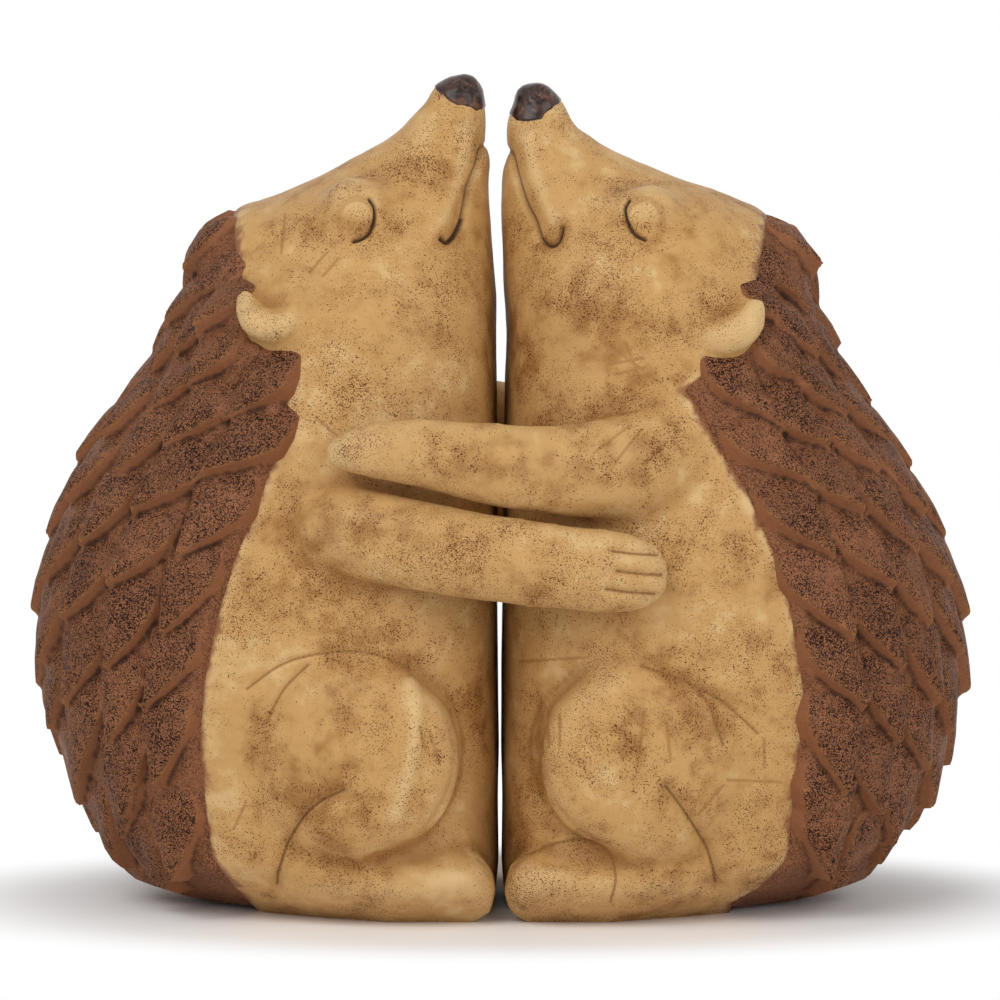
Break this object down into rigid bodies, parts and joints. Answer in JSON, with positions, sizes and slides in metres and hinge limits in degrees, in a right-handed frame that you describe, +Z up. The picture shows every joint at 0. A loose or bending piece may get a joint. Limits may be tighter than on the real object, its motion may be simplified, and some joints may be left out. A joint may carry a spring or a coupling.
{
  "type": "hugging hedgehog figurines",
  "caption": "Pair of standing hedgehog figurines in cast resin that hug belly to belly with crossed arms; a free-standing ornament whose figures draw apart.",
  "frame": {"origin": "on the resting plane, midway between the two figures and between their near and far sides", "axes": "+X from the left figure to the right one, +Y away from the camera, +Z up"},
  "size_m": [0.123, 0.0676, 0.1059],
  "materials": {
    "cream_resin": "waxy cast resin, cream with a tan wash and dark brown specks",
    "quill_resin": "cast resin painted brown, with dense dark specks and paler quill edges",
    "nose_paint": "dark purple-brown satin paint"
  },
  "bodies": {
    "left_hedgehog": {"left_body": "cream_resin", "left_near_ear": "cream_resin", "left_far_ear": "cream_resin", "left_near_arm": "cream_resin", "left_far_arm": "cream_resin", "left_near_leg": "cream_resin", "left_far_leg": "cream_resin", "left_quill_coat": "quill_resin", "left_nose": "nose_paint"},
    "right_hedgehog": {"right_body": "cream_resin", "right_near_ear": "cream_resin", "right_far_ear": "cream_resin", "right_near_arm": "cream_resin", "right_far_arm": "cream_resin", "right_near_leg": "cream_resin", "right_far_leg": "cream_resin", "right_quill_coat": "quill_resin", "right_nose": "nose_paint"}
  },
  "joints": [
    {"name": "pull_apart", "type": "slide", "parent": "left_hedgehog", "child": "right_hedgehog", "axis": [1, 0, 0], "range_m": [0, 0.05]}
  ]
}
